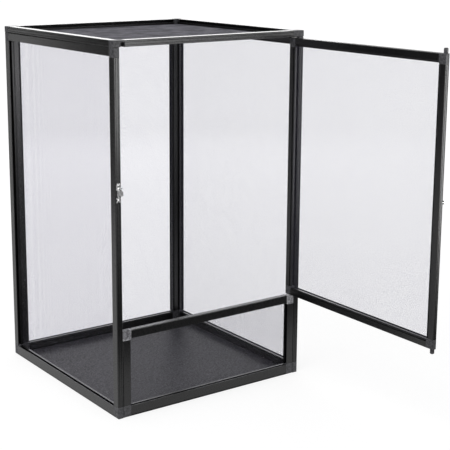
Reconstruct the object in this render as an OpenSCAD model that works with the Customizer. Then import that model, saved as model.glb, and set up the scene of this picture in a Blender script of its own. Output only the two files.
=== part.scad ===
// Screened reptile terrarium: six framed mesh panels, a floor board and a latched front door.
// Origin at the centre of the base on the ground, X to the right, Y to the back, Z up.

/* [Cage] */
// Overall width of the cage
cage_w = 460; // [380:10:620]
// Overall depth of the cage
cage_d = 460; // [380:10:620]
// Overall height of the cage
cage_h = 750; // [600:10:1000]
// Height of the fixed panel below the door
lower_h = 180.5; // [120:0.5:260]
// Gap between a panel and the panel beside it
panel_gap = 0.3; // [0.1:0.05:0.6]

/* [Frame profile] */
// Face width of a stile or upper rail
frame_w = 17; // [15:0.5:24]
// Face width of a base rail
base_w = 22; // [18:0.5:32]
// Thickness of every frame
frame_t = 13; // [11:0.5:18]
// Wall thickness of the extrusion
wall = 1.2; // [0.8:0.1:1.6]
// Width of the part beside the screen, with its open groove and the spline channel
ledge_w = 6; // [5.8:0.1:8]
// Depth of the screen's seat below the inner face
seat_drop = 1.2; // [0.8:0.1:2]
// Radius of the two corners along the outer edge
edge_r = 1.5; // [0.5:0.25:2.5]
// Width of each fine line drawn along the outer edge
reed_w = 1; // [0.4:0.1:1.4]
// Depth of each fine line
reed_d = 0.5; // [0.2:0.1:0.7]

/* [Screen] */
// Diameter of the spline cord
spline_d = 3.2; // [2.4:0.1:3.6]
// Clearance around the spline in its channel
spline_gap = 0.1; // [0.05:0.05:0.2]
// Thickness of the woven screen
mesh_t = 0.6; // [0.3:0.1:1]
// Pitch of the screen's openings, far coarser than the real weave
cell = 60; // [50:1:90]
// Width of the strands between the openings
strand_w = 2.5; // [1:0.5:5]

/* [Corner connectors] */
// How far a corner block stands past the rail beside it
corner_over = 2; // [0:0.5:6]
// Length of a tenon inside the extrusion
tenon_l = 22; // [12:1:30]
// Clearance around a tenon
tenon_gap = 0.15; // [0.05:0.05:0.3]
// Radius of a corner block's inner corner
corner_r = 3.5; // [1:0.5:6]
// Diameter of the pegs that join one panel to the next
peg_d = 5; // [4:0.5:6]
// Reach of a peg into the next panel
peg_l = 6; // [4:0.5:8]
// Clearance around a peg
peg_gap = 0.1; // [0.05:0.05:0.3]
// Width of the corner blocks beside the door's lower pins
pivot_corner_w = 19; // [18:0.5:24]
// Height of those blocks
pivot_corner_h = 20; // [20:0.5:28]
// Length of the top frame's corner blocks along the front
top_corner_w = 26; // [26:0.5:34]

/* [Floor] */
// Thickness of the floor board
board_t = 3.2; // [2.4:0.2:6]
// Clearance around the board
board_gap = 0.3; // [0.2:0.1:1]
// Width of the lip along each base rail that carries the board
lip_w = 4; // [3:0.5:6]
// Thickness of that lip
lip_t = 1.2; // [0.8:0.1:1.6]

/* [Door] */
// Opening angle of the door
door_open = 90; // [0:5:90]
// Gap between the door and the frames at its sides
door_gap = 0.5; // [0.4:0.1:1]
// Gap above and below the door, filled by a washer
hinge_gap = 1.7; // [1:0.1:3]
// Diameter of the hinge pins
pin_d = 8.2; // [6:0.1:8.6]
// Length of the hinge pins
pin_l = 10; // [8:0.5:11]
// Radial running clearance of the hinge pins
pin_gap = 0.05; // [0.03:0.01:0.1]
// Clearance around a free pin in its pocket
pocket_gap = 0.6; // [0.4:0.1:1]
// Wall left around the pocket
pocket_wall = 1.6; // [1:0.1:2]
// Radius of the lower pocket's closed corners
pocket_r = 3; // [1:0.25:4]
// Outer diameter of the hinge washers
washer_d = 11; // [9.5:0.5:12]

/* [Latch] */
// Height of the latch pivot above the ground
latch_z = 468; // [300:1:600]
// Width of the latch plate
plate_w = 10.6; // [9:0.2:11]
// Length of the latch plate above the pivot
plate_up = 11.5; // [11.5:0.5:18]
// Length of the latch plate below the pivot
plate_down = 26.5; // [22:0.5:34]
// Thickness of the latch plate
plate_t = 1.2; // [0.8:0.1:2]
// Thickness of the swing hook
hook_t = 1.8; // [1.2:0.1:2.5]
// Radius of the hook's hub
hub_r = 4.3; // [4:0.1:4.4]
// Distance from the pivot to the centre of the hook's finger
finger_l = 12; // [11:0.25:13]
// Radius of the finger
finger_r = 4.5; // [4:0.1:5]
// Direction of the finger below the horizontal when it is released
finger_angle = 60; // [58:1:75]
// Turn of the hook from released to hooked
hook_turn = 18; // [10:1:18]
// Diameter of the pivot rivet
rivet_d = 4; // [3:0.1:4.5]
// Drop of the door stud below the pivot
stud_drop = 6; // [5:0.25:7]
// Diameter of the stud's head
stud_d = 7; // [6:0.25:7]
// Diameter of the stud's neck
neck_d = 3.5; // [3:0.1:3.5]
// Thread diameter of the small screws
screw_d = 2.9; // [2.4:0.1:3.2]
// Head diameter of the small screws
screw_head_d = 5; // [4.4:0.1:5.2]

/* [Hidden] */
$fn = 48;
// a hair added to cuts so that no skin is left
eps = 0.1;

side_h = cage_h - frame_t;
back_w = cage_w - 2 * frame_t - 2 * panel_gap;
door_w = cage_w - 2 * frame_t - 2 * door_gap;
door_z = lower_h + hinge_gap;
door_h = side_h - lower_h - 2 * hinge_gap;

corner_h = frame_w + corner_over;
base_corner_h = base_w + corner_over;

ledge_t = frame_t - seat_drop;
channel_w = spline_d + 2 * spline_gap;
channel_d = spline_d + spline_gap;
// the land left between the spline channel and the open edge of the ledge
channel_land = (ledge_w - channel_w) / 2;
// the most openings along one side of a screen
max_cells = 12;
// where the screen ends, counted from the edge of the ledge
mesh_lap = channel_land;

// where the fine lines run, as shares of the thickness; a nosed piece has only the last
reeds = [0.3, 0.7];
nosed_reeds = [0.75];

nose_r = frame_t / 2;
pin_x = door_w / 2 - nose_r;
pin_y = -cage_d / 2 + frame_t / 2;
pin_tip = 1.2;
bore_r = pin_d / 2 + pin_gap;
top_pocket_r = 1;
// the space left past the end of a pin, above and below a washer, and around the pin in it
pin_end_gap = 0.8;
washer_gap = 0.1;
washer_slack = 0.15;
bore_depth = pin_l - hinge_gap + pin_end_gap;
washer_t = hinge_gap - 2 * washer_gap;
washer_bore = pin_d + 2 * washer_slack;

latch_x = -cage_w / 2 + frame_t / 2;
front_y = -cage_d / 2;
hook_gap = 0.3;
hook_y = plate_t + hook_gap;
rivet_head_d = 7.2;
rivet_head_t = 1.3;
plate_foot = 9.4;
web_w = 5;
scallop_r = 2.6;
scallop_d = 1.6;
// how far the upper screw stands from the plate's end; the lower one is central in the foot
screw_inset = 4.3;
screw_up = plate_up - screw_inset;
screw_down = plate_down - plate_foot / 2;
screw_l = 7;
screw_head_t = 1.5;
screw_gap = 0.1;
slot_w = 0.7;
slot_d = 0.7;
tab_l = 8.2;
tab_w = 2.4;
tab_angle = 9;
head_gap = 0.7;
neck_l = hook_y + hook_t + head_gap;
stud_head_t = 2.6;
stud_shank = 5;
// the stud and the pivot as seen from the front, pivot at the origin
stud_at = [-pin_x - latch_x, -stud_drop];

extrusion = "#2e2e31";
moulding = "#55555a";
cord = "#1f1f22";
screen = [0.35, 0.35, 0.38, 0.45];
board = "#3c3c42";
chrome = "#c9cbd0";

// ---- cross sections: x runs from the panel's outer edge to its screen, y from face to face ----

// What a rounded corner takes off the corner at the origin.
module corner_waste(r) {
    difference() {
        translate([-eps, -eps]) square(r + eps);
        translate([r, r]) circle(r);
    }
}

// Outline of a frame piece w wide. A nosed one has its outer corner rounded about the hinge
// pin, so that the door turns beside its neighbour.
module outline(w, nosed) {
    difference() {
        square([w, frame_t]);
        corner_waste(nosed ? nose_r : edge_r);
        translate([0, frame_t]) mirror([0, 1]) corner_waste(edge_r);
    }
}

// The hollow that takes a tenon, inset from the box's sides.
module hollow(w, inset, nosed) {
    translate([inset, inset]) difference() {
        square([w - ledge_w - 2 * inset, frame_t - 2 * inset]);
        if (nosed) corner_waste(nose_r - inset);
    }
}

// A box that takes the tenons, and beside the screen an open groove under the spline channel.
module profile(w, nosed = false) {
    box_w = w - ledge_w;
    difference() {
        outline(w, nosed);
        hollow(w, wall, nosed);
        translate([box_w, wall]) square([ledge_w + eps, ledge_t - channel_d - 2 * wall]);
        translate([box_w + channel_land, ledge_t - channel_d]) square([channel_w, channel_d + eps]);
        translate([box_w + channel_land, ledge_t]) square([ledge_w, seat_drop + eps]);
        for (at = nosed ? nosed_reeds : reeds)
            translate([-eps, at * frame_t - reed_w / 2]) square([reed_d + eps, reed_w]);
    }
}

module base_profile() {
    profile(base_w);
    translate([0, frame_t - edge_r - eps]) square([lip_t, lip_w + edge_r + eps]);
}

// ---- a panel lies flat: x to its right, y up the panel, z from outer face to inner face ----

module stile(from, to) {
    translate([0, to, 0]) rotate([90, 0, 0]) linear_extrude(to - from) children();
}

module rail(from, to) {
    translate([from, 0, 0]) rotate([90, 0, 90]) linear_extrude(to - from) children();
}

module flip_x(w) {
    translate([w, 0, 0]) mirror([1, 0, 0]) children();
}

module flip_y(h) {
    translate([0, h, 0]) mirror([0, 1, 0]) children();
}

// Corner block of w by h at the panel's corner, with a tenon up the stile and one along the
// rail. rail_w is the face width of that rail.
module corner(w, h, rail_w, nosed = false) {
    slack = wall + tenon_gap;
    difference() {
        intersection() {
            stile(0, h) outline(w, nosed);
            rail(0, w) outline(h, false);
        }
        translate([w, h, -eps]) rotate([0, 0, 180]) linear_extrude(frame_t + 2 * eps)
            corner_waste(corner_r);
    }
    stile(h - eps, h + tenon_l) hollow(frame_w, slack, nosed);
    rail(w - eps, w + tenon_l) hollow(rail_w, slack, false);
}

// A peg out of the side of a corner block h high, across the gap and into the next panel.
module side_peg(h) {
    translate([eps, h / 2, frame_t / 2]) rotate([0, -90, 0])
        cylinder(d = peg_d, h = panel_gap + peg_l + eps);
}

// The bore in a side panel for such a peg.
module side_peg_bore(h) {
    translate([frame_t / 2, h / 2, frame_t - peg_l - peg_gap])
        cylinder(d = peg_d + 2 * peg_gap, h = peg_l + peg_gap + eps);
}

// Screen of a panel w by h. base is the face width of the bottom rail, and low and high are
// the corner blocks' [width, height] at the bottom and at the top.
module screen_sheet(w, h, base, low, high) {
    side = frame_w - mesh_lap;
    foot = base - mesh_lap;
    translate([0, 0, ledge_t]) linear_extrude(mesh_t) difference() {
        translate([side, foot]) square([w - 2 * side, h - foot - side]);
        for (x = [0, 1]) {
            translate([x * (w - low[0]), 0]) square(low);
            translate([x * (w - high[0]), h - high[1]]) square(high);
        }
        translate([frame_w, base]) openings(w - 2 * frame_w, h - base - frame_w);
    }
}

// Rows and columns of openings that fill w by h, with a strand around each.
module openings(w, h) {
    columns = cells_along(w);
    rows = cells_along(h);
    step = [(w - strand_w) / columns, (h - strand_w) / rows];
    for (i = [0:columns - 1], j = [0:rows - 1])
        translate([strand_w + i * step[0], strand_w + j * step[1]])
            square([step[0] - strand_w, step[1] - strand_w]);
}

function cells_along(length) = min(max_cells, round(length / cell));

// Spline: one length of round cord in the channel of each side.
module spline_cords(w, h, base, low, high) {
    rail_end = max(low[0], high[0]) + spline_gap;
    stile(low[1] + spline_gap, h - high[1] - spline_gap) cord_section(frame_w);
    flip_x(w) stile(low[1] + spline_gap, h - high[1] - spline_gap) cord_section(frame_w);
    rail(rail_end, w - rail_end) cord_section(base);
    flip_y(h) rail(rail_end, w - rail_end) cord_section(frame_w);
}

module cord_section(w) {
    translate([w - channel_land - channel_w / 2, ledge_t - spline_d / 2]) circle(d = spline_d);
}

// ---- where each panel stands in the cage ----

module place_left() {
    translate([-cage_w / 2, -cage_d / 2, 0]) rotate([90, 0, 90]) children();
}

module place_right() {
    mirror([1, 0, 0]) place_left() children();
}

module place_back() {
    translate([-back_w / 2, cage_d / 2, 0]) rotate([90, 0, 0]) children();
}

module place_lower() {
    mirror([0, 1, 0]) place_back() children();
}

module place_top() {
    translate([-cage_w / 2, -cage_d / 2, cage_h]) mirror([0, 0, 1]) children();
}

module place_door() {
    swing_door() translate([-door_w / 2, -cage_d / 2, door_z])
        mirror([0, 1, 0]) rotate([90, 0, 0]) children();
}

module swing_door() {
    translate([pin_x, pin_y, 0]) rotate([0, 0, door_open]) translate([-pin_x, -pin_y, 0]) children();
}

// ---- side panels ----

side_low = [frame_w, base_corner_h];
side_high = [frame_w, corner_h];

module side_stile() {
    stile(base_corner_h, side_h - corner_h) profile(frame_w);
}

module side_base_rail() {
    rail(frame_w, cage_d - frame_w) base_profile();
}

module side_top_rail() {
    flip_y(side_h) rail(frame_w, cage_d - frame_w) profile(frame_w);
}

module panel_corner_pair() {
    corner(frame_w, base_corner_h, base_w);
    flip_y(side_h) corner(frame_w, corner_h, frame_w);
}

// The blocks of a side panel. Pegs stand up into the top panel, and bores take the pegs of the
// back panel and of the lower front panel.
module side_corners() {
    difference() {
        union() {
            panel_corner_pair();
            flip_x(cage_d) panel_corner_pair();
        }
        side_peg_bore(base_corner_h);
        flip_x(cage_d) side_peg_bore(base_corner_h);
        flip_x(cage_d) flip_y(side_h) side_peg_bore(corner_h);
    }
    for (x = [frame_w / 2, cage_d - frame_w / 2])
        translate([x, side_h - eps, frame_t / 2]) rotate([-90, 0, 0])
            cylinder(d = peg_d, h = peg_l + eps);
}

module left_front_stile() {
    color(extrusion) difference() {
        place_left() side_stile();
        for (z = [screw_up, -screw_down]) latch_at(z) screw_hole();
    }
}

module left_rear_stile() {
    color(extrusion) place_left() flip_x(cage_d) side_stile();
}

module left_top_rail() {
    color(extrusion) place_left() side_top_rail();
}

module left_base_rail() {
    color(extrusion) place_left() side_base_rail();
}

module left_corners() {
    color(moulding) place_left() side_corners();
}

module left_mesh() {
    color(screen) place_left() screen_sheet(cage_d, side_h, base_w, side_low, side_high);
}

module left_spline() {
    color(cord) place_left() spline_cords(cage_d, side_h, base_w, side_low, side_high);
}

module right_front_stile() {
    color(extrusion) place_right() side_stile();
}

module right_rear_stile() {
    color(extrusion) place_right() flip_x(cage_d) side_stile();
}

module right_top_rail() {
    color(extrusion) place_right() side_top_rail();
}

module right_base_rail() {
    color(extrusion) place_right() side_base_rail();
}

module right_corners() {
    color(moulding) place_right() side_corners();
}

module right_mesh() {
    color(screen) place_right() screen_sheet(cage_d, side_h, base_w, side_low, side_high);
}

module right_spline() {
    color(cord) place_right() spline_cords(cage_d, side_h, base_w, side_low, side_high);
}

// ---- back panel ----

module back_corner_pair() {
    panel_corner_pair();
    side_peg(base_corner_h);
    flip_y(side_h) side_peg(corner_h);
}

module back_left_stile() {
    color(extrusion) place_back() side_stile();
}

module back_right_stile() {
    color(extrusion) place_back() flip_x(back_w) side_stile();
}

module back_top_rail() {
    color(extrusion) place_back() flip_y(side_h) rail(frame_w, back_w - frame_w) profile(frame_w);
}

module back_base_rail() {
    color(extrusion) place_back() rail(frame_w, back_w - frame_w) base_profile();
}

module back_corners() {
    color(moulding) place_back() {
        back_corner_pair();
        flip_x(back_w) back_corner_pair();
    }
}

module back_mesh() {
    color(screen) place_back() screen_sheet(back_w, side_h, base_w, side_low, side_high);
}

module back_spline() {
    color(cord) place_back() spline_cords(back_w, side_h, base_w, side_low, side_high);
}

// ---- top panel, with its screen low down ----

top_block = [top_corner_w, frame_w];

module top_long_rail() {
    rail(top_corner_w, cage_w - top_corner_w) profile(frame_w);
}

module top_side_rail() {
    stile(frame_w, cage_d - frame_w) profile(frame_w);
}

module top_corner() {
    difference() {
        corner(top_corner_w, frame_w, frame_w);
        translate([frame_t / 2, frame_w / 2, frame_t - peg_l - peg_gap])
            cylinder(d = peg_d + 2 * peg_gap, h = peg_l + peg_gap + eps);
    }
}

module top_front_rail() {
    color(extrusion) place_top() top_long_rail();
}

module top_rear_rail() {
    color(extrusion) place_top() flip_y(cage_d) top_long_rail();
}

module top_left_rail() {
    color(extrusion) place_top() top_side_rail();
}

module top_right_rail() {
    color(extrusion) place_top() flip_x(cage_w) top_side_rail();
}

module top_rear_corners() {
    color(moulding) place_top() flip_y(cage_d) {
        top_corner();
        flip_x(cage_w) top_corner();
    }
}

// The door's free upper pin passes into this pocket as the door closes.
module top_catch_corner() {
    color(moulding) difference() {
        place_top() top_corner();
        translate([-pin_x, pin_y, side_h])
            pin_pocket(top_corner_w + pin_x - cage_w / 2, bore_depth, top_pocket_r);
    }
}

// The door's upper hinge pin turns in this bore.
module top_hinge_corner() {
    color(moulding) difference() {
        place_top() flip_x(cage_w) top_corner();
        translate([pin_x, pin_y, side_h]) pin_bore();
    }
}

module top_mesh() {
    color(screen) place_top() screen_sheet(cage_w, cage_d, frame_w, top_block, top_block);
}

module top_spline() {
    color(cord) place_top() spline_cords(cage_w, cage_d, frame_w, top_block, top_block);
}

module pin_bore() {
    translate([0, 0, -eps]) cylinder(r = bore_r, h = bore_depth + eps);
}

// Pocket for a free pin, open to the front and at the block's edge. reach is how far the block
// goes on past the pin's centre, and round is the radius of the pocket's closed corners.
module pin_pocket(reach, depth, round) {
    left = pin_d / 2 + pocket_gap;
    right = max(left, reach - pocket_wall);
    translate([0, left, 0]) rotate([90, 0, 0]) linear_extrude(left + frame_t) {
        translate([-left, -eps]) square([left + right, depth - round + eps]);
        translate([round - left, -eps]) square([left + right - 2 * round, depth + eps]);
        for (x = [round - left, right - round])
            translate([x, depth - round]) circle(round);
    }
}

// ---- fixed panel below the door ----

pivot_block = [pivot_corner_w, pivot_corner_h];

module lower_stile() {
    stile(base_corner_h, lower_h - pivot_corner_h) profile(frame_w);
}

module pivot_corner() {
    corner(pivot_corner_w, pivot_corner_h, frame_w);
}

module lower_left_stile() {
    color(extrusion) place_lower() lower_stile();
}

module lower_right_stile() {
    color(extrusion) place_lower() flip_x(back_w) lower_stile();
}

module lower_top_rail() {
    color(extrusion) place_lower() flip_y(lower_h)
        rail(pivot_corner_w, back_w - pivot_corner_w) profile(frame_w);
}

module lower_base_rail() {
    color(extrusion) place_lower() rail(frame_w, back_w - frame_w) base_profile();
}

module lower_base_corner() {
    corner(frame_w, base_corner_h, base_w);
    side_peg(base_corner_h);
}

module lower_base_corners() {
    color(moulding) place_lower() {
        lower_base_corner();
        flip_x(back_w) lower_base_corner();
    }
}

module lower_catch_corner() {
    color(moulding) difference() {
        place_lower() flip_y(lower_h) pivot_corner();
        translate([-pin_x, pin_y, lower_h]) mirror([0, 0, 1])
            pin_pocket(pivot_corner_w + pin_x - back_w / 2, pivot_corner_h - pocket_wall, pocket_r);
    }
}

module lower_hinge_corner() {
    color(moulding) difference() {
        place_lower() flip_y(lower_h) flip_x(back_w) pivot_corner();
        translate([pin_x, pin_y, lower_h]) mirror([0, 0, 1]) pin_bore();
    }
}

module lower_mesh() {
    color(screen) place_lower() screen_sheet(back_w, lower_h, base_w, side_low, pivot_block);
}

module lower_spline() {
    color(cord) place_lower() spline_cords(back_w, lower_h, base_w, side_low, pivot_block);
}

// ---- door ----

door_block = [frame_w, corner_h];

module door_stile() {
    stile(corner_h, door_h - corner_h) profile(frame_w, nosed = true);
}

module door_rail() {
    rail(frame_w, door_w - frame_w) profile(frame_w);
}

// Corner block of the door, with its hinge pin pointing down.
module door_corner() {
    corner(frame_w, corner_h, frame_w, nosed = true);
    translate([nose_r, 0, frame_t / 2]) rotate([90, 0, 0]) hinge_pin();
}

module hinge_pin() {
    translate([0, 0, -eps]) cylinder(d = pin_d, h = pin_l - pin_tip + eps);
    translate([0, 0, pin_l - pin_tip]) cylinder(d1 = pin_d, d2 = pin_d - 2 * pin_tip, h = pin_tip);
}

module door_corner_pair() {
    door_corner();
    flip_y(door_h) door_corner();
}

module door_free_stile() {
    color(extrusion) difference() {
        place_door() door_stile();
        swing_door() stud_place() rotate([90, 0, 0])
            translate([0, 0, -stud_shank]) cylinder(d = screw_d + 2 * screw_gap, h = stud_shank + eps);
    }
}

module door_hinge_stile() {
    color(extrusion) place_door() flip_x(door_w) door_stile();
}

module door_top_rail() {
    color(extrusion) place_door() flip_y(door_h) door_rail();
}

module door_bottom_rail() {
    color(extrusion) place_door() door_rail();
}

module door_free_corners() {
    color(moulding) place_door() door_corner_pair();
}

module door_hinge_corners() {
    color(moulding) place_door() flip_x(door_w) door_corner_pair();
}

module door_mesh() {
    color(screen) place_door() screen_sheet(door_w, door_h, frame_w, door_block, door_block);
}

module door_spline() {
    color(cord) place_door() spline_cords(door_w, door_h, frame_w, door_block, door_block);
}

// Thin washers on the two hinge pins keep the door clear of the frames.
module hinge_washers() {
    color("white") for (z = [lower_h + washer_gap, side_h - hinge_gap + washer_gap])
        translate([pin_x, pin_y, z]) difference() {
            cylinder(d = washer_d, h = washer_t);
            translate([0, 0, -eps]) cylinder(d = washer_bore, h = washer_t + 2 * eps);
        }
}

// ---- floor board, flush with the ground and rebated over the lips of the base rails ----

module floor_board() {
    board_w = cage_w - 2 * frame_t - 2 * board_gap;
    board_d = cage_d - 2 * frame_t - 2 * board_gap;
    rebate = lip_w + board_gap;
    color(board) {
        translate([-board_w / 2, -board_d / 2, lip_t]) cube([board_w, board_d, board_t - lip_t]);
        translate([-board_w / 2 + rebate, -board_d / 2 + rebate, 0])
            cube([board_w - 2 * rebate, board_d - 2 * rebate, board_t]);
    }
}

// ---- swing-hook latch on the left front stile ----

// Places a piece on the stile's front, z above the pivot, with its own z out towards the front.
module latch_at(z) {
    translate([latch_x, front_y, latch_z + z]) rotate([90, 0, 0]) children();
}

module screw_hole() {
    translate([0, 0, -screw_l - eps]) cylinder(d = screw_d + 2 * screw_gap, h = screw_l + 2 * eps);
}

module cross_slots(d) {
    for (turn = [0, 90])
        rotate([0, 0, turn]) translate([-d / 2, -slot_w / 2, 0]) cube([d, slot_w, slot_d + eps]);
}

// Outline of the latch plate: a disc for the upper screw, a disc behind the hub, and on a
// narrow web a square foot with scalloped sides for the lower screw.
module plate_outline() {
    for (y = [0, plate_up - plate_w / 2])
        translate([0, y]) circle(plate_w / 2);
    translate([-web_w / 2, -screw_down]) square([web_w, screw_down]);
    translate([0, -screw_down]) difference() {
        square(plate_foot, center = true);
        for (turn = [0:90:270])
            rotate(turn) translate([plate_foot / 2 + scallop_r - scallop_d, 0]) circle(scallop_r);
    }
}

module latch_plate() {
    color(chrome) latch_at(0) linear_extrude(plate_t) difference() {
        plate_outline();
        translate([0, screw_up]) circle(d = screw_d + 2 * screw_gap);
        translate([0, -screw_down]) circle(d = screw_d + 2 * screw_gap);
        circle(d = rivet_d + 2 * pin_gap);
    }
}

module latch_screws() {
    color(chrome) for (z = [screw_up, -screw_down])
        latch_at(z) translate([0, 0, plate_t]) difference() {
            union() {
                translate([0, 0, -screw_l]) cylinder(d = screw_d, h = screw_l + eps);
                cylinder(d1 = screw_head_d, d2 = screw_head_d - 1.6, h = screw_head_t);
            }
            translate([0, 0, screw_head_t - slot_d]) cross_slots(screw_head_d - 2.4);
        }
}

// Rivet through the hook's hub, clenched behind the plate.
module latch_rivet() {
    color(chrome) latch_at(0) difference() {
        union() {
            cylinder(d = rivet_d, h = hook_y + hook_t + hook_gap + eps);
            translate([0, 0, hook_y + hook_t + hook_gap])
                cylinder(d1 = rivet_head_d, d2 = rivet_head_d - 2, h = rivet_head_t);
        }
        translate([0, 0, hook_y + hook_t + hook_gap + rivet_head_t - slot_d])
            cross_slots(rivet_head_d - 3.4);
    }
}

// Outline of the hook as it hangs released: hub, finger with a cradle for the stud's neck,
// and a thumb tab.
module hook_outline() {
    finger_at = finger_l * [cos(finger_angle), -sin(finger_angle)];
    difference() {
        union() {
            circle(hub_r);
            hull() {
                circle(hub_r - 1.2);
                translate(finger_at) circle(finger_r);
            }
            rotate(tab_angle) hull() {
                translate([hub_r - tab_w, 0]) circle(tab_w / 2);
                translate([tab_l - tab_w / 2, 0]) circle(tab_w / 2);
            }
        }
        rotate(-hook_turn) translate(stud_at) circle(neck_d / 2 + hook_gap);
        circle(d = rivet_d + 2 * pin_gap);
    }
}

module latch_hook() {
    color(chrome) latch_at(0) translate([0, 0, hook_y]) linear_extrude(hook_t) hook_outline();
}

// ---- stud on the door's outer face ----

module stud_place() {
    translate([-pin_x, front_y, latch_z - stud_drop]) children();
}

module door_stud() {
    color(chrome) swing_door() stud_place() rotate([90, 0, 0]) {
        translate([0, 0, -stud_shank]) cylinder(d = screw_d, h = stud_shank + eps);
        cylinder(d = neck_d, h = neck_l + eps);
        translate([0, 0, neck_l]) cylinder(d = stud_d, h = stud_head_t / 2);
        translate([0, 0, neck_l + stud_head_t / 2])
            cylinder(d1 = stud_d, d2 = stud_d - 2, h = stud_head_t / 2);
    }
}

left_front_stile();
left_rear_stile();
left_top_rail();
left_base_rail();
left_corners();
left_mesh();
left_spline();
right_front_stile();
right_rear_stile();
right_top_rail();
right_base_rail();
right_corners();
right_mesh();
right_spline();
back_left_stile();
back_right_stile();
back_top_rail();
back_base_rail();
back_corners();
back_mesh();
back_spline();
top_front_rail();
top_rear_rail();
top_left_rail();
top_right_rail();
top_rear_corners();
top_catch_corner();
top_hinge_corner();
top_mesh();
top_spline();
lower_left_stile();
lower_right_stile();
lower_top_rail();
lower_base_rail();
lower_base_corners();
lower_catch_corner();
lower_hinge_corner();
lower_mesh();
lower_spline();
door_free_stile();
door_hinge_stile();
door_top_rail();
door_bottom_rail();
door_free_corners();
door_hinge_corners();
door_mesh();
door_spline();
floor_board();
hinge_washers();
latch_plate();
latch_screws();
latch_rivet();
latch_hook();
door_stud();
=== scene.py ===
"""A tall reptile terrarium: six screen panels in black frames, a floor board, and a front
door that hangs open on the right with a swing-hook latch. Made and set out in metres."""

import math

import bpy
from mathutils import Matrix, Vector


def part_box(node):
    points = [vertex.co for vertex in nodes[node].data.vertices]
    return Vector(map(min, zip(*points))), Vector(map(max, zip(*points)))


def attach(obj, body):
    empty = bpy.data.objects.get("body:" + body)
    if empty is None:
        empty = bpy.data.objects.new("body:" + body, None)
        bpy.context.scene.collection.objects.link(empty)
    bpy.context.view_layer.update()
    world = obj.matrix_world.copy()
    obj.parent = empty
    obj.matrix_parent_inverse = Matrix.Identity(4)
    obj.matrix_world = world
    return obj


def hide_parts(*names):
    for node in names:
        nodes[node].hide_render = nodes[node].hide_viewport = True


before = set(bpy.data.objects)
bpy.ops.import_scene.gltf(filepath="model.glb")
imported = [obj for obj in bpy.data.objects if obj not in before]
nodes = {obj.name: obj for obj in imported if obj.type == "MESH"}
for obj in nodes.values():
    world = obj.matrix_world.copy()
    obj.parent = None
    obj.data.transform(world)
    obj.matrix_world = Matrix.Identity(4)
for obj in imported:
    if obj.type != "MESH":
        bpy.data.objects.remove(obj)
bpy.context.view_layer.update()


# ---- Frame extrusions ----------------------------------------------------------------------
# Each panel is framed by hollow aluminium extrusion, sawn to length and pushed onto the
# corner connectors. It is coated in satin black powder, baked on before assembly.


def linear(code):
    """The linear colour, with alpha, of an sRGB hex code."""
    parts = [int(code[i : i + 2], 16) / 255 for i in (1, 3, 5)]
    return [c / 12.92 if c < 0.04045 else ((c + 0.055) / 1.055) ** 2.4 for c in parts] + [1]


def per_metre(millimetres):
    """The texture scale whose pattern repeats about every so many millimetres."""
    return 1000 / millimetres


def add(material, kind, links=None, **settings):
    """Adds a node, sets its properties or sockets by name, and links sockets to others."""
    node = material.node_tree.nodes.new(kind)
    for name, value in settings.items():
        if hasattr(node, name):
            setattr(node, name, value)
        else:
            node.inputs[name.replace("_", " ")].default_value = value
    for name, source in (links or {}).items():
        material.node_tree.links.new(source, node.inputs[name])
    return node


def finish(name):
    """A new material with its output node, ready for a surface."""
    material = bpy.data.materials.new(name)
    material.use_nodes = True
    material.node_tree.nodes.clear()
    return material


def dress(node_name, material):
    """Gives a CAD node its material."""
    mesh = nodes[node_name].data
    mesh.materials.clear()
    mesh.materials.append(material)


def powder_coated_aluminium():
    """Baked powder: an even satin black with a faint orange peel and soft edges. Its shine is
    turned down in the grooves and the inner corners, as painted shade for these dark recesses."""
    m = finish("powder_coated_aluminium")
    place = add(m, "ShaderNodeTexCoord").outputs["Object"]
    peel = add(m, "ShaderNodeTexNoise", {"Vector": place}, Scale=per_metre(0.9), Detail=2.0)
    cloud = add(m, "ShaderNodeTexNoise", {"Vector": place}, Scale=per_metre(60), Detail=3.0)
    shade = add(m, "ShaderNodeValToRGB", {"Fac": cloud.outputs["Fac"]})
    shade.color_ramp.elements[0].position = 0.35
    shade.color_ramp.elements[0].color = linear("#0c0c0d")
    shade.color_ramp.elements[1].position = 0.65
    shade.color_ramp.elements[1].color = linear("#121213")
    rough = add(m, "ShaderNodeMapRange", {"Value": peel.outputs["Fac"]}, To_Min=0.24, To_Max=0.32)
    round_edge = add(m, "ShaderNodeBevel", samples=4, Radius=0.0004)
    # painted shade: ambient occlusion turns the shine down in the grooves and inner corners
    recess_occlusion = add(m, "ShaderNodeAmbientOcclusion", samples=6, Distance=0.006)
    painted_shade_shine = add(m, "ShaderNodeMapRange", {"Value": recess_occlusion.outputs["AO"]},
                From_Min=0.6, From_Max=0.92, To_Min=0.03, To_Max=0.45)
    bump = add(m, "ShaderNodeBump",
               {"Height": peel.outputs["Fac"], "Normal": round_edge.outputs["Normal"]},
               Strength=0.12, Distance=0.0001)
    skin = add(m, "ShaderNodeBsdfPrincipled",
               {"Base Color": shade.outputs["Color"], "Roughness": rough.outputs["Result"],
                "Normal": bump.outputs["Normal"], "Specular IOR Level": painted_shade_shine.outputs["Result"]},
               IOR=1.5)
    add(m, "ShaderNodeOutputMaterial", {"Surface": skin.outputs["BSDF"]})
    return m


POWDER = powder_coated_aluminium()
for name in nodes:
    if name.endswith(("_stile", "_rail")):
        dress(name, POWDER)


# ---- Corner connectors ---------------------------------------------------------------------
# A moulded nylon block closes each corner, with tenons that grip inside the extrusions. Glass
# in the nylon leaves a mottled grey skin. The lower panel's two upper blocks take a lighter
# copy of the same nylon, painted light for the light that falls on them.


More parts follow.
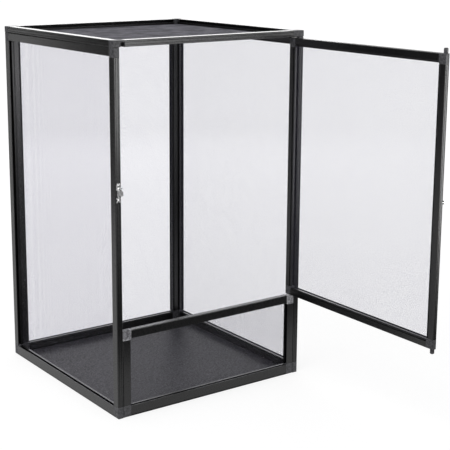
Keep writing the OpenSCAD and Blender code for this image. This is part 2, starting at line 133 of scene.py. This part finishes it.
def glass_filled_nylon(name, dark, pale):
    """Moulded nylon: grey and matt, with a pale mottle where the glass reaches the skin."""
    m = finish(name)
    place = add(m, "ShaderNodeTexCoord").outputs["Object"]
    mottle = add(m, "ShaderNodeTexNoise", {"Vector": place},
                 Scale=per_metre(4), Detail=4.0, Roughness=0.65)
    shade = add(m, "ShaderNodeValToRGB", {"Fac": mottle.outputs["Fac"]})
    shade.color_ramp.elements[0].position = 0.42
    shade.color_ramp.elements[0].color = linear(dark)
    shade.color_ramp.elements[1].position = 0.6
    shade.color_ramp.elements[1].color = linear(pale)
    grain = add(m, "ShaderNodeTexNoise", {"Vector": place}, Scale=per_metre(0.5), Detail=2.0)
    round_edge = add(m, "ShaderNodeBevel", samples=4, Radius=0.0005)
    bump = add(m, "ShaderNodeBump",
               {"Height": grain.outputs["Fac"], "Normal": round_edge.outputs["Normal"]},
               Strength=0.25, Distance=0.0001)
    skin = add(m, "ShaderNodeBsdfPrincipled",
               {"Base Color": shade.outputs["Color"], "Normal": bump.outputs["Normal"]},
               Roughness=0.55, IOR=1.53)
    add(m, "ShaderNodeOutputMaterial", {"Surface": skin.outputs["BSDF"]})
    return m


NYLON = glass_filled_nylon("glass_filled_nylon", "#2c2c2f", "#57575b")
# a lighter copy of the same nylon, painted light for the blocks that the light falls on
LIT_COPY_NYLON = glass_filled_nylon("lit_copy_glass_filled_nylon", "#8a8a8e", "#d2d2d6")
for name in nodes:
    if "corner" in name:
        # the lower panel's two upper blocks get the lighter copy, painted light
        pale = name in ("lower_catch_corner", "lower_hinge_corner")
        dress(name, LIT_COPY_NYLON if pale else NYLON)


# ---- Woven screens -------------------------------------------------------------------------
# Each opening is filled with fine wire cloth, cut to size, laid over the frame's ledge and
# held by the spline. The wires are round, crossed at a close pitch and coated black.

WIRE_PITCH = 0.0014
WIRE_RADIUS = 0.0001
LEVEL_WIRE_RADIUS = 0.00008


def lacquered_wire(name, cover, cast, dark, pale):
    """Black lacquer on aluminium wire: dark grey with a small highlight along each wire. The
    real weave is finer than this one, so the wires of the upright screens let some of the
    light through; that light is tinted a faint violet, a painted colour of the light behind."""
    m = finish(name)
    place = add(m, "ShaderNodeTexCoord").outputs["Object"]
    batch = add(m, "ShaderNodeTexNoise", {"Vector": place}, Scale=per_metre(35), Detail=3.0)
    shade = add(m, "ShaderNodeValToRGB", {"Fac": batch.outputs["Fac"]})
    shade.color_ramp.elements[0].position = 0.35
    shade.color_ramp.elements[0].color = linear(dark)
    shade.color_ramp.elements[1].position = 0.65
    shade.color_ramp.elements[1].color = linear(pale)
    skin = add(m, "ShaderNodeBsdfPrincipled", {"Base Color": shade.outputs["Color"]},
               Roughness=0.45, IOR=1.5)
    # painted light: what passes through is tinted with the screen's painted cast
    through = add(m, "ShaderNodeBsdfTransparent", Color=linear(cast))
    wire = add(m, "ShaderNodeMixShader", Fac=cover)
    m.node_tree.links.new(through.outputs[0], wire.inputs[1])
    m.node_tree.links.new(skin.outputs[0], wire.inputs[2])
    add(m, "ShaderNodeOutputMaterial", {"Surface": wire.outputs[0]})
    return m


def wire_cloth(name, low, high, radius):
    """Crossed straight wires that fill a flat box, one layer lying on the other."""
    thin = min(range(3), key=lambda i: high[i] - low[i])
    plane = [i for i in range(3) if i != thin]
    middle = (low[thin] + high[thin]) / 2
    points, faces = [], []
    for layer, (along, over) in enumerate((plane, plane[::-1])):
        level = middle + (layer - 0.5) * 2 * radius
        count = int((high[over] - low[over]) / WIRE_PITCH)
        first = (low[over] + high[over] - (count - 1) * WIRE_PITCH) / 2
        for k in range(count):
            start = len(points)
            for end in (low[along], high[along]):
                for side, lift in ((1, 0), (0, 1), (-1, 0), (0, -1)):
                    p = [0, 0, 0]
                    p[along] = end
                    p[over] = first + k * WIRE_PITCH + side * radius
                    p[thin] = level + lift * radius
                    points.append(p)
            for i in range(4):
                j = (i + 1) % 4
                faces.append((start + i, start + j, start + 4 + j, start + 4 + i))
    mesh = bpy.data.meshes.new(name)
    mesh.from_pydata(points, [], faces)
    mesh.polygons.foreach_set("use_smooth", [True] * len(faces))
    cloth = bpy.data.objects.new(name, mesh)
    bpy.context.scene.collection.objects.link(cloth)
    return cloth


LEVEL_WIRE = lacquered_wire("lacquered_level_wire", 1.0, "#f8f7ff", "#55545c", "#84838c")
PANELS = {"left": "cage", "right": "cage", "back": "cage", "top": "cage", "lower": "cage",
          "door": "door"}
# how much of the light behind it each wire of an upright screen stops; this and the next
# values are fitted for each screen and aren't properties of the cloth, which is one cloth;
# the differences between screens are partly their see-through and partly painted light,
# for how brightly each screen is lit
COVER_WITH_PAINTED_LIGHT = {"left": 0.15, "right": 0.6, "back": 0.55, "lower": 0.55, "door": 0.62}
# the colour of the light that the wires of each screen let through, a painted violet tint
# of the light behind
PAINTED_LIGHT_CAST = {"left": "#fdfcff", "right": "#d9d6ff", "back": "#d9d6ff", "lower": "#f8f7ff",
        "door": "#d2ceff"}
for panel, body in PANELS.items():
    level = panel == "top"
    cloth = wire_cloth(panel + "_wire_cloth", *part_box(panel + "_mesh"),
                       LEVEL_WIRE_RADIUS if level else WIRE_RADIUS)
    cloth.data.materials.append(LEVEL_WIRE if level else lacquered_wire(
        "lacquered_" + panel + "_wire", COVER_WITH_PAINTED_LIGHT[panel], PAINTED_LIGHT_CAST[panel], "#605f67", "#646369"))
    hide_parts(panel + "_mesh")
    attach(cloth, body)


# ---- Spline --------------------------------------------------------------------------------
# One soft cord lies in the channel of each frame and traps the edge of the wire cloth. It is
# extruded vinyl, ribbed along its length so that it bites in the channel.

CORD_RADIUS = 0.0016
CORD_RIBS = 9
RIB_DEPTH = 0.00022
# the height of the corner blocks at the foot and at the head of each panel, and their reach
# along the rails, with the small gap that the cord leaves beside them
BLOCKS = {"left": (0.0241, 0.0191, 0.0171), "right": (0.0241, 0.0191, 0.0171),
          "back": (0.0241, 0.0191, 0.0171), "top": (0.0171, 0.0171, 0.0261),
          "lower": (0.0241, 0.0201, 0.0191), "door": (0.0191, 0.0191, 0.0171)}


def extruded_vinyl():
    """Soft vinyl: black and dull, with a faint bloom that comes and goes at random."""
    m = finish("extruded_vinyl")
    place = add(m, "ShaderNodeTexCoord").outputs["Object"]
    bloom = add(m, "ShaderNodeTexNoise", {"Vector": place}, Scale=per_metre(6), Detail=3.0)
    shade = add(m, "ShaderNodeValToRGB", {"Fac": bloom.outputs["Fac"]})
    shade.color_ramp.elements[0].color = linear("#0b0b0c")
    shade.color_ramp.elements[1].color = linear("#19191b")
    skin = add(m, "ShaderNodeBsdfPrincipled", {"Base Color": shade.outputs["Color"]},
               Roughness=0.62, IOR=1.5)
    add(m, "ShaderNodeOutputMaterial", {"Surface": skin.outputs["BSDF"]})
    return m


def ribbed_run(points, faces, start, end, along, others):
    """Adds one straight length of ribbed cord from start to end to the lists."""
    first = len(points)
    steps = 2 * CORD_RIBS
    for place in (start, end):
        for k in range(steps):
            turn = 2 * math.pi * k / steps
            radius = CORD_RADIUS - (RIB_DEPTH if k % 2 else 0)
            p = list(place)
            p[others[0]] += radius * math.cos(turn)
            p[others[1]] += radius * math.sin(turn)
            points.append(p)
    for k in range(steps):
        j = (k + 1) % steps
        faces.append((first + k, first + j, first + steps + j, first + steps + k))
    faces.append(tuple(first + k for k in reversed(range(steps))))
    faces.append(tuple(first + steps + k for k in range(steps)))


VINYL = extruded_vinyl()
# the outer edges of each panel's frame: low and high across, low and high up
EDGES = {"left": (-0.23, 0.23, 0, 0.737), "right": (-0.23, 0.23, 0, 0.737),
         "back": (-0.2167, 0.2167, 0, 0.737), "top": (-0.23, 0.23, -0.23, 0.23),
         "lower": (-0.2167, 0.2167, 0, 0.1805), "door": (-0.65, -0.217, 0.1822, 0.7353)}
for panel, body in PANELS.items():
    low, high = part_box(panel + "_spline")
    thin = min(range(3), key=lambda i: high[i] - low[i])
    wide, tall = [i for i in range(3) if i != thin]
    foot, head, reach = BLOCKS[panel]
    near, far, bottom, top = EDGES[panel]
    middle = (low[thin] + high[thin]) / 2
    points, faces = [], []
    for across in (low[wide] + CORD_RADIUS, high[wide] - CORD_RADIUS):
        start, end = [0, 0, 0], [0, 0, 0]
        start[thin] = end[thin] = middle
        start[wide] = end[wide] = across
        start[tall], end[tall] = bottom + foot, top - head
        ribbed_run(points, faces, start, end, tall, (wide, thin))
    for up in (low[tall] + CORD_RADIUS, high[tall] - CORD_RADIUS):
        start, end = [0, 0, 0], [0, 0, 0]
        start[thin] = end[thin] = middle
        start[tall] = end[tall] = up
        start[wide], end[wide] = near + reach, far - reach
        ribbed_run(points, faces, start, end, wide, (thin, tall))
    mesh = bpy.data.meshes.new(panel + "_ribbed_cord")
    mesh.from_pydata(points, [], faces)
    mesh.materials.append(VINYL)
    cord = bpy.data.objects.new(panel + "_ribbed_cord", mesh)
    bpy.context.scene.collection.objects.link(cord)
    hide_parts(panel + "_spline")
    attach(cord, body)


# ---- Floor board ---------------------------------------------------------------------------
# A plain sheet of rigid vinyl lies on the lips of the base rails and closes the floor.


def rigid_vinyl_sheet():
    """Calendered sheet: violet black, finely grained, with a dull shine."""
    m = finish("rigid_vinyl_sheet")
    place = add(m, "ShaderNodeTexCoord").outputs["Object"]
    grain = add(m, "ShaderNodeTexNoise", {"Vector": place}, Scale=per_metre(4), Detail=4.0,
                Roughness=0.8)
    shade = add(m, "ShaderNodeValToRGB", {"Fac": grain.outputs["Fac"]})
    shade.color_ramp.elements[0].position = 0.4
    shade.color_ramp.elements[0].color = linear("#111114")
    shade.color_ramp.elements[1].position = 0.62
    shade.color_ramp.elements[1].color = linear("#525156")
    bump = add(m, "ShaderNodeBump", {"Height": grain.outputs["Fac"]},
               Strength=0.35, Distance=0.0005)
    skin = add(m, "ShaderNodeBsdfPrincipled",
               {"Base Color": shade.outputs["Color"], "Normal": bump.outputs["Normal"]},
               Roughness=0.42, IOR=1.5, Specular_IOR_Level=0.08)
    add(m, "ShaderNodeOutputMaterial", {"Surface": skin.outputs["BSDF"]})
    return m


dress("floor_board", rigid_vinyl_sheet())


# ---- Hinge washers -------------------------------------------------------------------------
# A thin nylon washer sits on each hinge pin, so that the door turns clear of the frames.


def natural_nylon():
    """Unfilled nylon: milky white with a soft shine."""
    m = finish("natural_nylon")
    place = add(m, "ShaderNodeTexCoord").outputs["Object"]
    cloud = add(m, "ShaderNodeTexNoise", {"Vector": place}, Scale=per_metre(4), Detail=2.0)
    shade = add(m, "ShaderNodeValToRGB", {"Fac": cloud.outputs["Fac"]})
    shade.color_ramp.elements[0].color = linear("#e6e5e0")
    shade.color_ramp.elements[1].color = linear("#f4f3ef")
    skin = add(m, "ShaderNodeBsdfPrincipled", {"Base Color": shade.outputs["Color"]},
               Roughness=0.4, IOR=1.53)
    add(m, "ShaderNodeOutputMaterial", {"Surface": skin.outputs["BSDF"]})
    return m


dress("hinge_washers", natural_nylon())


# ---- Latch and stud ------------------------------------------------------------------------
# A pressed plate is screwed to the left stile and carries a hook on a rivet, which swings up
# behind the head of a stud in the door. All of it is steel, bright nickel plated.


def nickel_plated_steel():
    """Bright plate: a mirror-like pale metal, with a slight ripple from the pressing, and painted
    shade in the crevices, where ambient occlusion darkens the colour."""
    m = finish("nickel_plated_steel")
    place = add(m, "ShaderNodeTexCoord").outputs["Object"]
    ripple = add(m, "ShaderNodeTexNoise", {"Vector": place}, Scale=per_metre(5), Detail=2.0)
    shade = add(m, "ShaderNodeValToRGB", {"Fac": ripple.outputs["Fac"]})
    shade.color_ramp.elements[0].color = linear("#e6e6e7")
    shade.color_ramp.elements[1].color = linear("#f5f5f5")
    # painted shade: ambient occlusion darkens the colour in the crevices
    crevice = add(m, "ShaderNodeAmbientOcclusion", samples=8, Distance=0.002)
    painted_crevice_shade = add(m, "ShaderNodeMapRange", {"Value": crevice.outputs["AO"]},
               From_Min=0.5, From_Max=0.88, To_Min=0.03)
    tone_with_painted_shade = add(m, "ShaderNodeVectorMath", {"Vector": shade.outputs["Color"],
                                           "Scale": painted_crevice_shade.outputs["Result"]}, operation="SCALE")
    round_edge = add(m, "ShaderNodeBevel", samples=4, Radius=0.0003)
    bump = add(m, "ShaderNodeBump",
               {"Height": ripple.outputs["Fac"], "Normal": round_edge.outputs["Normal"]},
               Strength=0.05, Distance=0.0002)
    skin = add(m, "ShaderNodeBsdfPrincipled",
               {"Base Color": tone_with_painted_shade.outputs["Vector"], "Normal": bump.outputs["Normal"]},
               Metallic=1.0, Roughness=0.135)
    add(m, "ShaderNodeOutputMaterial", {"Surface": skin.outputs["BSDF"]})
    return m


NICKEL = nickel_plated_steel()
for name in ("latch_plate", "latch_screws", "latch_rivet", "latch_hook", "door_stud"):
    dress(name, NICKEL)


# ---- Studio floor --------------------------------------------------------------------------
# A wide sheet of white paper that runs under the cage and to the horizon.


def white_paper():
    """Matt white paper that looks white to the camera and to shiny things, yet takes shade."""
    m = finish("white_paper")
    path = add(m, "ShaderNodeLightPath").outputs
    seen = add(m, "ShaderNodeMath", operation="MAXIMUM")
    m.node_tree.links.new(path["Is Camera Ray"], seen.inputs[0])
    m.node_tree.links.new(path["Is Glossy Ray"], seen.inputs[1])
    through = add(m, "ShaderNodeMath", operation="MAXIMUM")
    m.node_tree.links.new(seen.outputs[0], through.inputs[0])
    m.node_tree.links.new(path["Is Transmission Ray"], through.inputs[1])
    place = add(m, "ShaderNodeTexCoord").outputs["Object"]
    away = add(m, "ShaderNodeVectorMath", operation="LENGTH")
    m.node_tree.links.new(place, away.inputs[0])
    level = add(m, "ShaderNodeMapRange", {"Value": away.outputs["Value"]},
                From_Min=0.6, From_Max=4.0, To_Min=0.79, To_Max=0.88)
    lift = add(m, "ShaderNodeMath", operation="MULTIPLY")
    m.node_tree.links.new(through.outputs[0], lift.inputs[0])
    m.node_tree.links.new(level.outputs["Result"], lift.inputs[1])
    paper = add(m, "ShaderNodeBsdfDiffuse", Color=(0.3, 0.3, 0.3, 1))
    glow = add(m, "ShaderNodeEmission", {"Strength": lift.outputs[0]}, Color=(1, 1, 1, 1))
    both = add(m, "ShaderNodeAddShader")
    m.node_tree.links.new(paper.outputs[0], both.inputs[0])
    m.node_tree.links.new(glow.outputs[0], both.inputs[1])
    add(m, "ShaderNodeOutputMaterial", {"Surface": both.outputs[0]})
    return m


bpy.ops.mesh.primitive_plane_add(size=40, location=(0, 0, -0.0002))
paper = bpy.context.object
paper.name = "studio_floor"
paper.data.materials.append(white_paper())


# ---- Light ---------------------------------------------------------------------------------
# A white room with one large soft box above the left front and one behind. Narrow strips at
# the right and the rear draw a light line down the posts, between black cards that keep the
# frames black. The camera sees neither the cards nor the lamps.

room = bpy.data.worlds.new("white_room")
bpy.context.scene.world = room
room.use_nodes = True
tree = room.node_tree
back = tree.nodes["Background"]
path = tree.nodes.new("ShaderNodeLightPath").outputs
seen = tree.nodes.new("ShaderNodeMath")
seen.operation = "MAXIMUM"
tree.links.new(path["Is Camera Ray"], seen.inputs[0])
tree.links.new(path["Is Glossy Ray"], seen.inputs[1])
through = tree.nodes.new("ShaderNodeMath")
through.operation = "MAXIMUM"
tree.links.new(seen.outputs[0], through.inputs[0])
tree.links.new(path["Is Transmission Ray"], through.inputs[1])
level = tree.nodes.new("ShaderNodeMapRange")
level.inputs["To Min"].default_value = 0.55
level.inputs["To Max"].default_value = 1.0
tree.links.new(through.outputs[0], level.inputs["Value"])
tree.links.new(level.outputs["Result"], back.inputs["Strength"])
back.inputs["Color"].default_value = (1, 1, 1, 1)


def soft_box(name, place, aim, size, brightness, shine_only=False):
    """A rectangular lamp that faces a point, unseen by the camera, as bright as asked. A strip
    that is there for its shine alone leaves matt surfaces as they are."""
    lamp = bpy.data.lights.new(name, "AREA")
    lamp.shape = "RECTANGLE"
    lamp.size, lamp.size_y = size
    lamp.energy = brightness * math.pi * size[0] * size[1]
    light = bpy.data.objects.new(name, lamp)
    light.location = place
    toward = [a - p for a, p in zip(aim, place)]
    light.rotation_euler = (
        math.atan2(math.hypot(toward[0], toward[1]), -toward[2]), 0,
        math.atan2(-toward[0], toward[1]))
    light.visible_camera = False
    light.visible_diffuse = not shine_only
    bpy.context.scene.collection.objects.link(light)


soft_box("key_box", (-1.6, -0.6, 2.6), (0, 0, 0.35), (1.6, 1.6), 3.2)
soft_box("rear_box", (1.5, 2.6, 1.35), (0, 0, 0.7), (2.2, 0.9), 2.5)
soft_box("post_strip", (0.36, -1.25, 0.55), (-0.23, -0.23, 0.6), (0.3, 0.42), 8.0,
         shine_only=True)
soft_box("door_strip", (0.85, -1.25, 0.5), (0.2, -0.65, 0.5), (0.22, 0.7), 9.0,
         shine_only=True)
soft_box("rear_strip", (-0.7, 1.1, 0.4), (-0.23, 0.22, 0.4), (0.14, 0.7), 2.2,
         shine_only=True)


BLACK_CARD = finish("black_card")
# darker than any paint, so that the frames keep their own black
card_skin = add(BLACK_CARD, "ShaderNodeBsdfDiffuse", Color=(0.004, 0.004, 0.004, 1))
add(BLACK_CARD, "ShaderNodeOutputMaterial", {"Surface": card_skin.outputs[0]})


def black_card(name, corners):
    """A flat black card with the given corners, seen only in what is shiny."""
    mesh = bpy.data.meshes.new(name)
    mesh.from_pydata(corners, [], [(0, 1, 2, 3)])
    mesh.materials.append(BLACK_CARD)
    card = bpy.data.objects.new(name, mesh)
    bpy.context.scene.collection.objects.link(card)
    card.visible_camera = False
    card.visible_diffuse = False
    card.visible_shadow = False
    card.visible_transmission = False


black_card("rear_flag", [(-3, 1.3, 0), (0.1, 1.3, 0), (0.1, 1.3, 1.4), (-3, 1.3, 1.4)])
black_card("front_flag", [(-0.1, -1.9, 0), (3, -1.6, 0), (3, -1.6, 0.95),
                          (-0.1, -1.9, 0.95)])
black_card("floor_card", [(-0.15, -0.5, 0.001), (-0.15, -1.15, 0.001), (3, -1.15, 0.001),
                          (3, -0.5, 0.001)])


# ---- Camera --------------------------------------------------------------------------------
# Above the left front corner, a little lower than the eye, with the frame slid down.

SENSOR_WIDTH = 36
# the focal length as a share of the frame's width
FOCAL = 1145 / 450

lens = bpy.data.cameras.new("camera")
lens.sensor_width = SENSOR_WIDTH
lens.lens = FOCAL * SENSOR_WIDTH
lens.shift_x = 0.083
lens.shift_y = -0.09
lens.clip_end = 100
camera = bpy.data.objects.new("camera", lens)
camera.location = (-1.324, -2.063, 0.929)
# tilted down from level, and turned to the right of straight ahead
camera.rotation_euler = (math.radians(90 - 11.96), 0, math.radians(-34.53))
bpy.context.scene.collection.objects.link(camera)
bpy.context.scene.camera = camera
bpy.context.scene.view_settings.view_transform = "Standard"
